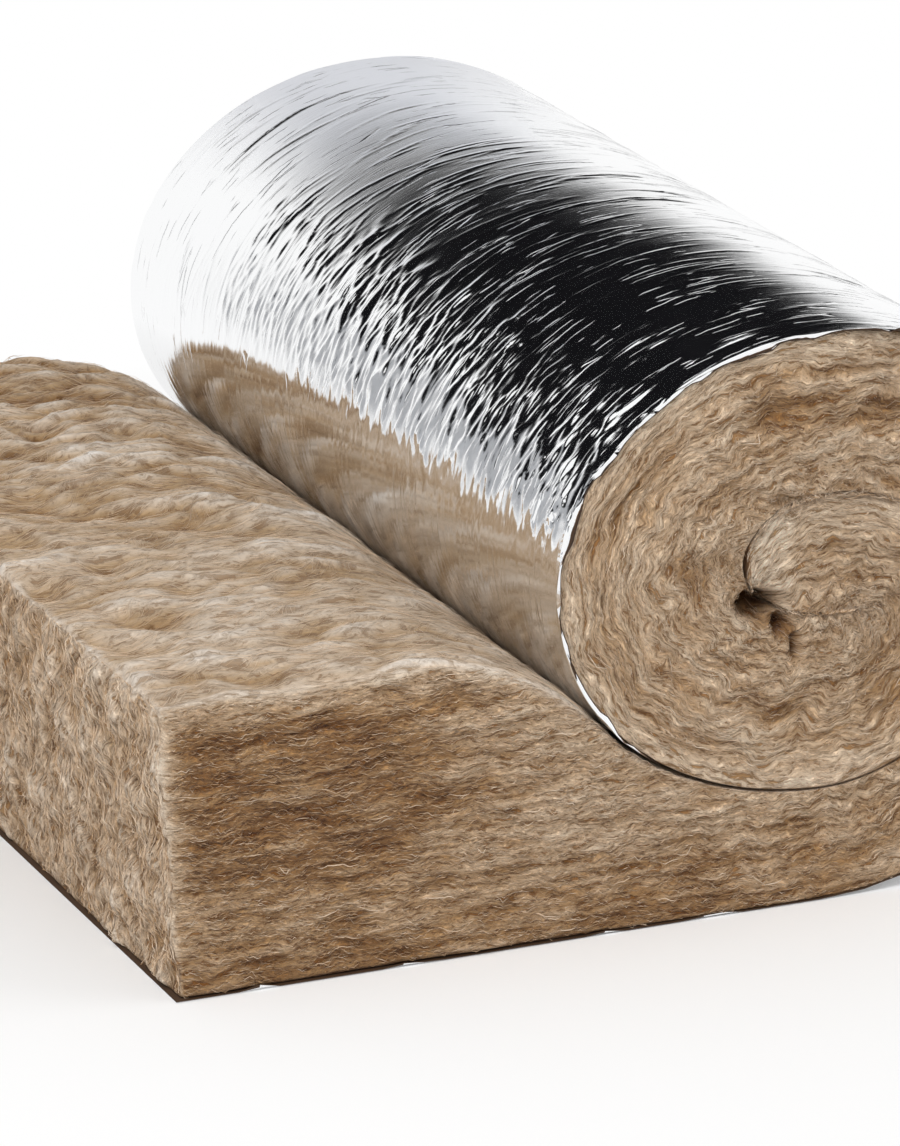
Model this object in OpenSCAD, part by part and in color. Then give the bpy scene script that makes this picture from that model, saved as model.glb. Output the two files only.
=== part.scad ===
// Foil-faced glass wool blanket, wound into a loose roll that rests on its own unrolled tail.
// Lengths are in millimetres. X runs along the blanket, Y along the roll's axis and Z is up.
// The origin is on the floor, at the middle of the footprint.

/* [Blanket] */
// Width of the wool, along the roll's axis
blanket_width = 600; // [300:10:1200]
// Thickness of the relaxed tail, with its facing
blanket_thickness = 160; // [125:1:220]
// Length of the tail on the floor, from its cut end to below the roll's axis
tail_length = 360; // [320:5:1200]
// How far the cut end leans out at its top
end_lean = 12; // [0:1:30]
// Radius of the soft top edge of the cut end
edge_radius = 14; // [4:1:30]

/* [Soft top of the tail] */
// Depth of the hollows between the lumps of the top
hollow_depth = 9; // [1:1:14]
// Distance between hollows along the blanket
hollow_length = 84; // [60:1:140]
// Distance between hollows across the blanket
hollow_width = 96; // [60:1:140]
// Length of the long dent across the middle of the top
dent_length = 150; // [60:5:250]
// Width of the long dent
dent_width = 44; // [30:1:80]
// Turn of the long dent from the blanket's length
dent_turn = -38; // [-90:1:90]
// How much lower the far edge of the top lies
far_sag = 6; // [0:1:12]

/* [Roll] */
// Reach of the roll from its axis, on the tail's side
near_reach = 152; // [125:1:200]
// Reach of the roll from its axis, on the side away from the tail
far_reach = 168; // [130:1:220]
// Height of the roll above the pressed tail
roll_height = 248; // [200:2:340]
// Thickness of the tail where the roll presses it flat
pressed_thickness = 62; // [40:1:80]
// Height at which the tail's top leaves the roll
contact_height = 110; // [95:1:118]
// Length of the tail's rounded shoulder beside the roll
shoulder_run = 64; // [20:1:100]

/* [Heart of the roll] */
// Thickness of the blanket's inner end
inner_end_thickness = 64; // [45:1:80]
// How far the inner end passes the roll's axis
inner_end_reach = 46; // [30:1:65]
// Gap in front of the inner end
eye_width = 8; // [4:1:20]
// Gap below the inner end
eye_height = 8; // [4:1:20]
// Depth of the fold where the blanket turns back over itself
fold_depth = 18; // [6:1:30]

/* [Facing] */
// Thickness of the foil facing
foil_thickness = 0.3; // [0.2:0.1:1]
// How far the facing stands past the wool at each side
foil_overhang = 3; // [0:1:30]
// Gap between the facing and the wool that it is wound against
turn_gap = 0.3; // [0.1:0.1:2]
// Angle round the inner end at which the facing stops
facing_stop = 150; // [100:1:175]
// Depth to which the turns and the heart show in the roll's ends
turn_depth = 8; // [2:1:30]

/* [Hidden] */

// Steps in each half turn, in the shoulder, and along and across the tail's soft top
turn_steps = 24;
shoulder_steps = 10;
top_steps = [12, 26];

// Room round the space above the soft top, and how far that space passes over the lumps
top_clear = 4;
top_skim = 0.4;

// Heights of the roll's top, of the wound turns and of the void at the heart
roll_top = pressed_thickness + roll_height;
wound_thickness = (roll_height - inner_end_thickness - eye_height - turn_gap) / 2;
heart_top = roll_top - wound_thickness;
heart_bottom = pressed_thickness + wound_thickness;

// The scroll is half ellipses that meet on the line through the roll's axis.
// Each is [half width, half height, height of its centre] on the facing's outer side.
outer_turn = [far_reach, roll_top / 2, roll_top / 2];
near_turn = [near_reach, roll_height / 2, pressed_thickness + roll_height / 2];
inner_top = heart_top - turn_gap;
inner_turn = [
    (far_reach + fold_depth) / 2,
    (inner_top - pressed_thickness) / 2,
    (inner_top + pressed_thickness) / 2
];
inner_end = [inner_end_reach, inner_end_thickness / 2, inner_top - inner_end_thickness / 2];
heart = [inner_end_reach + eye_width, (heart_top - heart_bottom) / 2, (heart_top + heart_bottom) / 2];
fold_top = inner_top - inner_end_thickness + foil_thickness;
fold = [fold_depth, (fold_top - heart_bottom) / 2, (fold_top + heart_bottom) / 2];

// The cut end's lean, and the centre of its rounded top edge
lean_angle = atan(end_lean / blanket_thickness);
edge_z = blanket_thickness - edge_radius;
edge_x = -tail_length + (edge_radius - edge_z * sin(lean_angle)) / cos(lean_angle);

// The roll's axis stands where the footprint is centred on the origin
roll_x = (edge_radius - edge_x - far_reach) / 2;

// Grows a half ellipse on all sides, or shrinks it where the growth is negative
function grown(turn, growth) = [turn[0] + growth, turn[1] + growth, turn[2]];

// Points along an ellipse between two angles, without the last one
function arc(turn, from, to, steps = turn_steps) = [
    for (i = [0 : steps - 1])
        let (a = from + (to - from) * i / steps)
        [turn[0] * cos(a), turn[2] + turn[1] * sin(a)]
];

// Last point of such an arc
function arc_end(turn, to) = [turn[0] * cos(to), turn[2] + turn[1] * sin(to)];

function reversed(points) = [for (i = [len(points) - 1 : -1 : 0]) points[i]];

// Top of the tail beside the roll: it leaves the roll along the roll's own slope and rounds off level
saddle = grown(near_turn, turn_gap);
contact_angle = 180 + asin((saddle[2] - contact_height) / saddle[1]);
contact = arc_end(saddle, contact_angle);
slope_run = (blanket_thickness - contact_height) * saddle[0] * sin(contact_angle)
    / (-saddle[1] * cos(contact_angle));
shoulder_peak = [contact[0] + slope_run, blanket_thickness];
shoulder_end = [shoulder_peak[0] - shoulder_run, blanket_thickness];
function shoulder_point(t) = pow(1 - t, 2) * contact + 2 * t * (1 - t) * shoulder_peak + t * t * shoulder_end;
shoulder = [for (i = [0 : shoulder_steps]) shoulder_point(i / shoulder_steps)];

// Round top edge of the cut end
end_edge = arc([edge_radius, edge_radius, edge_z], 90, 180 + lean_angle, shoulder_steps);
top_edge = [for (p = end_edge) [p[0] + edge_x, p[1]]];

// Plain height of the tail's top at a distance from the roll's axis
function plain_top(x) = lookup(x, concat([[-10 * tail_length, blanket_thickness]], shoulder));

// The soft top lies below its plain height in hollows between lumps, in one long dent and along its far edge.
// It comes up to the plain height before the roll.
function rise(low, high, value) =
    let (t = max(0, min(1, (value - low) / (high - low))))
    t * t * (3 - 2 * t);
dent_middle = -0.75 * tail_length;
function in_dent(x, y) =
    let (u = (x - dent_middle) * cos(dent_turn) + y * sin(dent_turn))
    let (v = y * cos(dent_turn) - (x - dent_middle) * sin(dent_turn))
    exp(-pow(2 * u / dent_length, 4) - pow(2 * v / dent_width, 2));
function in_hollow(x, y) =
    let (a = sin(360 * x / hollow_length + 60 * sin(360 * y / (2 * hollow_width))))
    let (b = sin(360 * y / hollow_width + 70 * sin(180 * x / hollow_length)))
    max(0, a * b);
function top_drop(x, y) =
    let (soft = 1 - rise(shoulder_end[0], -near_reach - top_clear, x))
    soft * (hollow_depth * max(in_dent(x, y), in_hollow(x, y)) + far_sag * rise(0, blanket_width / 2, y));

// Line of the facing at a depth below its outer side, from the tail's cut end round the outside of the
// roll to where it meets the tail again
function outside_line(depth) = concat(
    [[-tail_length, depth]],
    arc(grown(outer_turn, -depth), -90, 90),
    arc(grown(near_turn, -depth), 90, contact_angle)
);

// The same line inside the roll, from the tail to the facing's stop on the blanket's inner end
function inside_line(depth) = concat(
    arc(grown(near_turn, -depth), contact_angle, 270, shoulder_steps),
    arc(grown(inner_turn, -depth), -90, 90),
    arc(grown(inner_end, -depth), 90, facing_stop, shoulder_steps)
);

// Where the facing meets the tail again, on its outer and on its inner side
outside_end = arc_end(near_turn, contact_angle);
outside_end_inner = arc_end(grown(near_turn, -foil_thickness), contact_angle);

// Outline of the whole blanket, with the roll and the tail as one
wool_outline = concat(outside_line(foil_thickness), [outside_end_inner], shoulder, top_edge);

// Outline of what lies open between the turns and round the inner end
turn_outline = concat(
    inside_line(foil_thickness),
    arc(grown(inner_end, -foil_thickness), facing_stop, 270),
    arc(fold, 90, -90, shoulder_steps),
    arc(heart, 270, 90),
    arc(grown(inner_turn, turn_gap), 90, -90),
    arc(saddle, 270, contact_angle, shoulder_steps),
    [contact]
);

// Outlines of the facing outside the roll and of its edges between the turns
function between(outer, inner) = concat(outer, reversed(inner));
foil_outline = between(
    concat(outside_line(0), [outside_end]),
    concat(outside_line(foil_thickness), [outside_end_inner])
);
inside_end = arc_end(inner_end, facing_stop);
inside_end_inner = arc_end(grown(inner_end, -foil_thickness), facing_stop);
foil_edge_outline = between(
    concat(inside_line(0), [inside_end]),
    concat(inside_line(foil_thickness), [inside_end_inner])
);

// Sweeps an outline drawn in X and Z along the roll's axis
module swept(outline, width) {
    translate([roll_x, 0, 0])
        rotate([90, 0, 0])
            linear_extrude(height = width, center = true)
                polygon(outline);
}

// The same at both ends of the roll, from a depth inside the wool to a distance past it
module swept_at_ends(outline, depth, past) {
    for (side = [-1, 1])
        translate([0, side * (blanket_width + past - depth) / 2, 0])
            swept(outline, depth + past);
}

// All that lies above the tail's soft top, from before the cut end to just before the roll
module above_soft_top() {
    nx = top_steps[0];
    ny = top_steps[1];
    first = -tail_length - end_lean - top_clear;
    last = -near_reach - top_clear;
    half = blanket_width / 2 + top_clear;
    roof = blanket_thickness + 2 * top_clear;
    x = [for (i = [0 : nx]) first + (last - first) * i / nx];
    y = [for (j = [0 : ny]) half * (2 * j / ny - 1)];
    points = concat(
        [for (i = [0 : nx]) for (j = [0 : ny]) [x[i], y[j], plain_top(x[i]) + top_skim - top_drop(x[i], y[j])]],
        [[first, -half, roof], [last, -half, roof], [last, half, roof], [first, half, roof]]
    );
    corner = (nx + 1) * (ny + 1);
    function spot(i, j) = i * (ny + 1) + j;
    faces = concat(
        [for (i = [0 : nx - 1]) for (j = [0 : ny - 1]) [spot(i, j), spot(i + 1, j), spot(i + 1, j + 1)]],
        [for (i = [0 : nx - 1]) for (j = [0 : ny - 1]) [spot(i, j), spot(i + 1, j + 1), spot(i, j + 1)]],
        [
            [corner, corner + 3, corner + 2, corner + 1],
            concat([corner, corner + 1], [for (i = [nx : -1 : 0]) spot(i, 0)]),
            concat([corner + 1, corner + 2], [for (j = [ny : -1 : 0]) spot(nx, j)]),
            concat([corner + 2, corner + 3], [for (i = [0 : nx]) spot(i, ny)]),
            concat([corner + 3, corner], [for (j = [0 : ny]) spot(0, j)])
        ]
    );
    translate([roll_x, 0, 0])
        polyhedron(points, faces);
}

module wool_blanket() {
    color("burlywood")
        difference() {
            swept(wool_outline, blanket_width);
            swept_at_ends(turn_outline, turn_depth, 1);
            above_soft_top();
        }
}

module foil_facing() {
    color("silver")
        union() {
            swept(foil_outline, blanket_width + 2 * foil_overhang);
            swept_at_ends(foil_edge_outline, turn_depth, foil_overhang);
        }
}

wool_blanket();
foil_facing();
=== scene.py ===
# A part-unrolled blanket of glass wool with a foil facing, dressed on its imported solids.
# All lengths are in metres, in the frame of the solids: X along the blanket, Y along the roll, Z up.
import bpy
import bmesh
import math
import numpy as np
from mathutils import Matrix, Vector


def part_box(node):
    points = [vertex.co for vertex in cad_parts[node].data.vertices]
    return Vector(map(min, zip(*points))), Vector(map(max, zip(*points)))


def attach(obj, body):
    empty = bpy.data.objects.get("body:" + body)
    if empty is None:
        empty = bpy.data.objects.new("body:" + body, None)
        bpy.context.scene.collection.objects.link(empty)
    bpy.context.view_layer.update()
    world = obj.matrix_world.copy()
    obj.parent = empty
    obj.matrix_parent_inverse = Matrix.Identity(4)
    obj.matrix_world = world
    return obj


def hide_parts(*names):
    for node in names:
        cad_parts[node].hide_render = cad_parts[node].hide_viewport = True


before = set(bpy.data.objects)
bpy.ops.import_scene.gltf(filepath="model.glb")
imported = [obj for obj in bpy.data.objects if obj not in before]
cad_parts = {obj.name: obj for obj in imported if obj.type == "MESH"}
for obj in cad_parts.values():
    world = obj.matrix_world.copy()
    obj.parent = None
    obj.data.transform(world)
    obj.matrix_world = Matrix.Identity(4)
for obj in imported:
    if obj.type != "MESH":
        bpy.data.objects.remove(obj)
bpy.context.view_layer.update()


# The view
# A long lens looks down on the roll's near end and on the tail's near corner, as in the photograph.
# Soft boxes light a pale floor, and dark and grey cloths stand where only the bright metal mirrors them.
scene = bpy.context.scene
scene.view_settings.view_transform = "Standard"
facing_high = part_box("foil_facing")[1]
far_reach = 0.168
roll_x = facing_high[0] - far_reach

view_azimuth = math.radians(-23.44)
view_elevation = math.radians(18.62)
view_distance = 3.582
view_target = np.array([roll_x - 0.211, -0.300, 0.208])
towards_camera = np.array([
    math.sin(view_azimuth) * math.cos(view_elevation),
    -math.cos(view_azimuth) * math.cos(view_elevation),
    math.sin(view_elevation)])
lens = bpy.data.cameras.new("view")
lens.sensor_width = 36.0
lens.lens = 223.6
lens.clip_end = 50.0
camera = bpy.data.objects.new("view", lens)
camera.location = view_target + towards_camera * view_distance
camera.rotation_euler = (math.pi / 2 - view_elevation, 0.0, view_azimuth)
scene.collection.objects.link(camera)
scene.camera = camera


def flat_panel(name, width, depth, place, turn=(0.0, 0.0, 0.0)):
    mesh = bpy.data.meshes.new(name)
    x = width / 2
    y = depth / 2
    mesh.from_pydata([(-x, -y, 0), (x, -y, 0), (x, y, 0), (-x, y, 0)], [], [(0, 1, 2, 3)])
    panel = bpy.data.objects.new(name, mesh)
    panel.location = place
    panel.rotation_euler = turn
    scene.collection.objects.link(panel)
    return panel


def plain_finish(name, colour, roughness):
    finish = bpy.data.materials.new(name)
    finish.use_nodes = True
    shader = finish.node_tree.nodes["Principled BSDF"]
    shader.inputs["Base Color"].default_value = (*colour, 1.0)
    shader.inputs["Roughness"].default_value = roughness
    return finish


def add_node(tree, kind, inputs, **settings):
    """Adds a shader node. Each input is a plain value, or another node's output to link to."""
    added = tree.nodes.new("ShaderNode" + kind)
    for name, setting in settings.items():
        setattr(added, name, setting)
    for socket, value in inputs.items():
        if isinstance(value, bpy.types.NodeSocket):
            tree.links.new(value, added.inputs[socket])
        else:
            added.inputs[socket].default_value = value
    return added


def seen_directly(tree):
    """One for rays that come from the camera, from a mirror or through glass."""
    rays = add_node(tree, "LightPath", {}).outputs
    seen = rays["Is Camera Ray"]
    for kind in ("Is Glossy Ray", "Is Transmission Ray"):
        seen = add_node(tree, "Math", {0: seen, 1: rays[kind]}, operation="MAXIMUM").outputs[0]
    return seen


def floor_finish(shadow_whole, shadow_gone):
    """Pale paint that keeps the shadow near the object and is plain white further off."""
    finish = plain_finish("floor_paint", (0.94, 0.94, 0.94), 0.9)
    tree = finish.node_tree
    paint = tree.nodes["Principled BSDF"].outputs[0]
    place = add_node(tree, "TexCoord", {}).outputs["Object"]
    distance = add_node(tree, "VectorMath", {0: place}, operation="LENGTH").outputs["Value"]
    further = add_node(
        tree, "MapRange", {"Value": distance, "From Min": shadow_whole, "From Max": shadow_gone})
    white_part = add_node(
        tree, "Math", {0: further.outputs["Result"], 1: seen_directly(tree)}, operation="MULTIPLY")
    white = add_node(tree, "Emission", {})
    mix = add_node(tree, "MixShader", {0: white_part.outputs[0], 1: paint, 2: white.outputs[0]})
    tree.links.new(mix.outputs[0], tree.nodes["Material Output"].inputs["Surface"])
    return finish


floor_size = 14.0
floor_drop = 0.0006
floor = flat_panel("floor", floor_size, floor_size, (0.0, 0.0, -floor_drop))
floor.data.materials.append(floor_finish(shadow_whole=0.30, shadow_gone=0.75))


def cloth_finish(name, colour, side_fade, foot_fade, head_fade):
    """Dull cloth that thins out to nothing over shares of its width and height at its edges."""
    finish = plain_finish(name, colour, 1.0)
    tree = finish.node_tree
    shader = tree.nodes["Principled BSDF"]
    shader.inputs["Specular IOR Level"].default_value = 0.0
    place = add_node(tree, "TexCoord", {})
    split = add_node(tree, "SeparateXYZ", {0: place.outputs["Generated"]})
    dense = 1.0
    for way, first_fade, last_fade in (("X", side_fade, side_fade), ("Y", foot_fade, head_fade)):
        from_first = split.outputs[way]
        from_last = add_node(tree, "Math", {0: 1.0, 1: from_first}, operation="SUBTRACT").outputs[0]
        for from_edge, fade in ((from_first, first_fade), (from_last, last_fade)):
            rise = add_node(
                tree, "MapRange", {"Value": from_edge, "From Max": fade}, interpolation_type="SMOOTHSTEP")
            both = add_node(tree, "Math", {0: dense, 1: rise.outputs["Result"]}, operation="MULTIPLY")
            dense = both.outputs[0]
    gap = add_node(tree, "BsdfTransparent", {})
    mix = add_node(tree, "MixShader", {0: dense, 1: gap.outputs[0], 2: shader.outputs[0]})
    tree.links.new(mix.outputs[0], tree.nodes["Material Output"].inputs["Surface"])
    return finish


def cloth_panel(name, left, right, low, high, y, finish):
    """An upright cloth, behind or before the object, which only the bright metal shows."""
    place = ((left + right) / 2, y, (low + high) / 2)
    panel = flat_panel(name, right - left, high - low, place, (math.pi / 2, 0.0, 0.0))
    panel.data.materials.append(finish)
    panel.visible_camera = False
    panel.visible_diffuse = False
    panel.visible_shadow = False


dark_cloth = cloth_finish(
    "dark_cloth", (0.006, 0.006, 0.007), side_fade=0.02, foot_fade=0.22, head_fade=0.12)
side_cloth = cloth_finish(
    "grey_side_cloth", (0.40, 0.41, 0.43), side_fade=0.13, foot_fade=0.40, head_fade=0.20)
grey_cloth = cloth_finish(
    "grey_cloth", (0.78, 0.80, 0.85), side_fade=0.40, foot_fade=0.10, head_fade=0.05)
cloth_panel("dark_panel", left=-1.30, right=1.30, low=0.374, high=1.02, y=0.454, finish=dark_cloth)
cloth_panel("grey_side_panel", left=-2.20, right=-0.14, low=0.05, high=0.66, y=0.456, finish=side_cloth)
cloth_panel("grey_panel", left=-0.10, right=0.36, low=0.25, high=0.457, y=0.458, finish=grey_cloth)
cloth_panel("dark_front_panel", left=-1.60, right=1.60, low=0.50, high=1.30, y=-1.70, finish=dark_cloth)

world = bpy.data.worlds.new("studio")
scene.world = world
world.use_nodes = True
room = world.node_tree
room.nodes.clear()
white_light = (1.0, 1.0, 1.0, 1.0)
room_light = add_node(room, "Background", {"Color": white_light, "Strength": 0.50})
white_wall = add_node(room, "Background", {"Color": white_light, "Strength": 1.0})
either_light = add_node(
    room, "MixShader", {0: seen_directly(room), 1: room_light.outputs[0], 2: white_wall.outputs[0]})
add_node(room, "OutputWorld", {"Surface": either_light.outputs[0]})


def soft_box(name, place, aim, size, power):
    light = bpy.data.lights.new(name, "AREA")
    light.shape = "SQUARE"
    light.size = size
    light.energy = power
    lamp = bpy.data.objects.new(name, light)
    lamp.location = place
    away = np.array(place) - np.array(aim)
    level = math.hypot(away[0], away[1])
    lamp.rotation_euler = (math.atan2(level, away[2]), 0.0, math.atan2(away[1], away[0]) + math.pi / 2)
    lamp.visible_glossy = False
    scene.collection.objects.link(lamp)


soft_box("key_box", place=(-1.5, -1.6, 2.6), aim=(-0.05, 0.0, 0.15), size=1.6, power=62.0)
soft_box("fill_box", place=(2.2, -1.4, 1.9), aim=(0.0, 0.0, 0.15), size=1.8, power=16.0)


# The glass wool blanket
# One thick blanket of brown glass wool, laid down in thin layers that show on its cut faces.
# Its tail lies flat, and the rest is wound round on itself, so the layers follow the scroll.
blanket_width = 0.600
blanket_thickness = 0.160
tail_length = 0.360
end_lean = 0.012
near_reach = 0.152
roll_height = 0.248
pressed_thickness = 0.062
contact_height = 0.110
shoulder_run = 0.064
inner_end_thickness = 0.064
inner_end_reach = 0.046
eye_width = 0.008
eye_height = 0.008
eye_left_open = 0.02
fold_depth = 0.018
turn_gap = 0.0003
hollow_depth = 0.009
hollow_length = 0.084
hollow_width = 0.096
dent_length = 0.150
dent_width = 0.044
dent_turn = math.radians(-38)
far_sag = 0.006
top_clear = 0.004

roll_top = pressed_thickness + roll_height
wound_thickness = (roll_height - inner_end_thickness - eye_height - turn_gap) / 2
heart_top = roll_top - wound_thickness
inner_top = heart_top - turn_gap
fold_top = inner_top - inner_end_thickness

# Half turns of the scroll, each as half width, half height and height of its centre.
# The wool swells into the gap at the heart and leaves only a part of it open.
outer_turn = (far_reach, roll_top / 2, roll_top / 2)
near_turn = (near_reach, roll_height / 2, pressed_thickness + roll_height / 2)
inner_turn = (
    (far_reach + fold_depth) / 2,
    (inner_top - pressed_thickness) / 2,
    (inner_top + pressed_thickness) / 2)
inner_end = (inner_end_reach, inner_end_thickness / 2, inner_top - inner_end_thickness / 2)
swollen_bottom = fold_top - eye_height * eye_left_open
heart = (
    inner_end_reach + eye_width * eye_left_open,
    (heart_top - swollen_bottom) / 2,
    (heart_top + swollen_bottom) / 2)
fold = (fold_depth, (fold_top - swollen_bottom) / 2, (fold_top + swollen_bottom) / 2)


def round_turn(turn, first, last, steps):
    angle = np.radians(np.linspace(first, last, steps + 1))
    return np.stack([turn[0] * np.cos(angle), turn[2] + turn[1] * np.sin(angle)], axis=1)


def tail_top(x):
    """Height of the tail's top by the distance from the roll's axis: level, a shoulder, then the saddle.

    The ends of the saddle and of the level part are given too.
    """
    steps = 40
    angle = math.pi + math.asin((near_turn[2] - contact_height) / near_turn[1])
    contact = np.array([near_turn[0] * math.cos(angle), contact_height])
    rise = blanket_thickness - contact_height
    run = rise * near_turn[0] * math.sin(angle) / (-near_turn[1] * math.cos(angle))
    peak = np.array([contact[0] + run, blanket_thickness])
    level = np.array([peak[0] - shoulder_run, blanket_thickness])
    t = np.linspace(0, 1, steps)[:, None]
    shoulder = (1 - t) ** 2 * contact + 2 * t * (1 - t) * peak + t * t * level
    saddle = round_turn(near_turn, 270, math.degrees(angle), steps)
    line = np.concatenate([saddle[:-1], shoulder, [[-1.0, blanket_thickness]]])[::-1]
    return np.interp(x, line[:, 0], line[:, 1]), contact[0], level[0]


def length_along(line):
    return np.concatenate([[0], np.cumsum(np.linalg.norm(np.diff(line, axis=0), axis=1))])


# The blanket's two sides, column by column from the tail's cut end to the inner end
tail_columns = 110
tail_share = np.linspace(0, 1, tail_columns + 1)
foil_side = [np.stack([-tail_length * (1 - tail_share), 0 * tail_share], axis=1)]
top_x = -(tail_length + end_lean) * (1 - tail_share)
top_z, contact_x, shoulder_x = tail_top(top_x)
bare_side = [np.stack([top_x, top_z], axis=1)]
turn_columns = 84
fold_columns = 46
tip_columns = 16
tip_angle = 168
for outer, inner, outer_angles, inner_angles, steps in (
        (outer_turn, inner_turn, (-90, 90), (-90, 90), turn_columns),
        (near_turn, heart, (90, 270), (90, 270), turn_columns),
        (inner_turn, fold, (-90, 90), (-90, 90), fold_columns),
        (inner_end, inner_end, (90, tip_angle), (270, 360 - tip_angle), tip_columns)):
    foil_side.append(round_turn(outer, *outer_angles, steps)[1:])
    bare_side.append(round_turn(inner, *inner_angles, steps)[1:])
foil_side = np.concatenate(foil_side)
bare_side = np.concatenate(bare_side)
middle = (foil_side + bare_side) / 2
along = length_along(middle)
depth = np.linalg.norm(bare_side - foil_side, axis=1)
contact_column = int(np.searchsorted(top_x, contact_x))
roll_start = along[tail_columns]
third_turn = along[tail_columns + 2 * turn_columns]


def depth_at(s):
    return np.interp(s, along, depth)


def placed(s, t, y):
    """Points of the blanket from the length along it, the depth above the foil and the place across it."""
    at = np.maximum(s, 0)
    share = t / depth_at(at)
    x, z = (
        np.interp(at, along, foil_side[:, k]) * (1 - share) + np.interp(at, along, bare_side[:, k]) * share
        for k in range(2))
    return np.stack([x + roll_x + np.minimum(s, 0), y, z], axis=-1)


def scattered(ix, iy, iz, seed):
    """A fixed number from -1 to 1 for each whole-number place. The large numbers only mix the bits."""
    mixed = (ix.astype(np.uint32) * np.uint32(374761393) + iy.astype(np.uint32) * np.uint32(668265263)
             + iz.astype(np.uint32) * np.uint32(2147483647) + np.uint32(seed * 974634777 % 4294967295))
    mixed = (mixed ^ (mixed >> np.uint32(13))) * np.uint32(1274126177)
    mixed = (mixed ^ (mixed >> np.uint32(16))) * np.uint32(2246822519)
    mixed = mixed ^ (mixed >> np.uint32(15))
    return mixed.astype(np.float64) / 2147483647.5 - 1.0


def billow(x, y, z, seed):
    """Smooth random hills and hollows from about -1 to 1, one for each unit of length."""
    x, y, z = np.broadcast_arrays(x, y, z)
    cell = [np.floor(a).astype(np.int64) for a in (x, y, z)]
    part = [a - c for a, c in zip((x, y, z), cell)]
    ease = [p * p * p * (p * (p * 6 - 15) + 10) for p in part]
    total = 0.0
    for dx, dy, dz in np.ndindex(2, 2, 2):
        corner = (cell[0] + dx, cell[1] + dy, cell[2] + dz)
        slope = [scattered(*corner, seed * 3 + k) for k in range(3)]
        height = slope[0] * (part[0] - dx) + slope[1] * (part[1] - dy) + slope[2] * (part[2] - dz)
        weight = (ease[0] if dx else 1 - ease[0]) * (ease[1] if dy else 1 - ease[1])
        total = total + height * weight * (ease[2] if dz else 1 - ease[2])
    return total * 1.5


def eased(low, high, value):
    t = np.clip((value - low) / (high - low), 0, 1)
    return t * t * (3 - 2 * t)


def on_roll(s):
    """From 0 on the tail to 1 on the roll, by the length along the blanket."""
    return eased(roll_start - 0.10, roll_start + 0.05, s)


def layer_height(s, t, y):
    """Depth of a point among the wool's wavy layers. The layers buckle where the blanket is wound."""
    wound = on_roll(s)
    pressed = eased(0.0, 0.020, t)
    gentle = (0.0025 + 0.0035 * wound) * billow(s / 0.070, y / 0.090, t / 0.050, 1)
    ripple = (0.0016 + 0.0036 * wound * pressed) * billow(s / 0.016, y / 0.030, t / 0.022, 2)
    small = (0.0008 + 0.0020 * wound * pressed) * billow(s / 0.0065, y / 0.012, t / 0.011, 3)
    return t + gentle + ripple + small


def puffed(hills):
    """Round puffs with sharp hollows between them, from smooth hills."""
    return 1.7 * np.abs(hills) ** 0.7 - 0.7


def top_drop(x, y):
    """How far the tail's soft top lies below its plain height, at a distance from the roll's axis."""
    from_dent = x + 0.75 * tail_length
    down_dent = from_dent * math.cos(dent_turn) + y * math.sin(dent_turn)
    over_dent = y * math.cos(dent_turn) - from_dent * math.sin(dent_turn)
    in_dent = np.exp(-(2 * down_dent / dent_length) ** 4 - (2 * over_dent / dent_width) ** 2)
    sway_along = math.radians(60) * np.sin(math.pi * y / hollow_width)
    sway_across = math.radians(70) * np.sin(math.pi * x / hollow_length)
    lengthways = np.sin(2 * math.pi * x / hollow_length + sway_along)
    crossways = np.sin(2 * math.pi * y / hollow_width + sway_across)
    uneven = np.clip(0.55 + 0.9 * billow(x / 0.11, y / 0.09, 0.5, 16), 0.1, 1)
    in_hollow = uneven * np.maximum(0, lengthways * crossways)
    soft = 1 - eased(shoulder_x, -near_reach - top_clear, x)
    return soft * (hollow_depth * np.maximum(in_dent, in_hollow) + far_sag * eased(0, blanket_width / 2, y))


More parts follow.
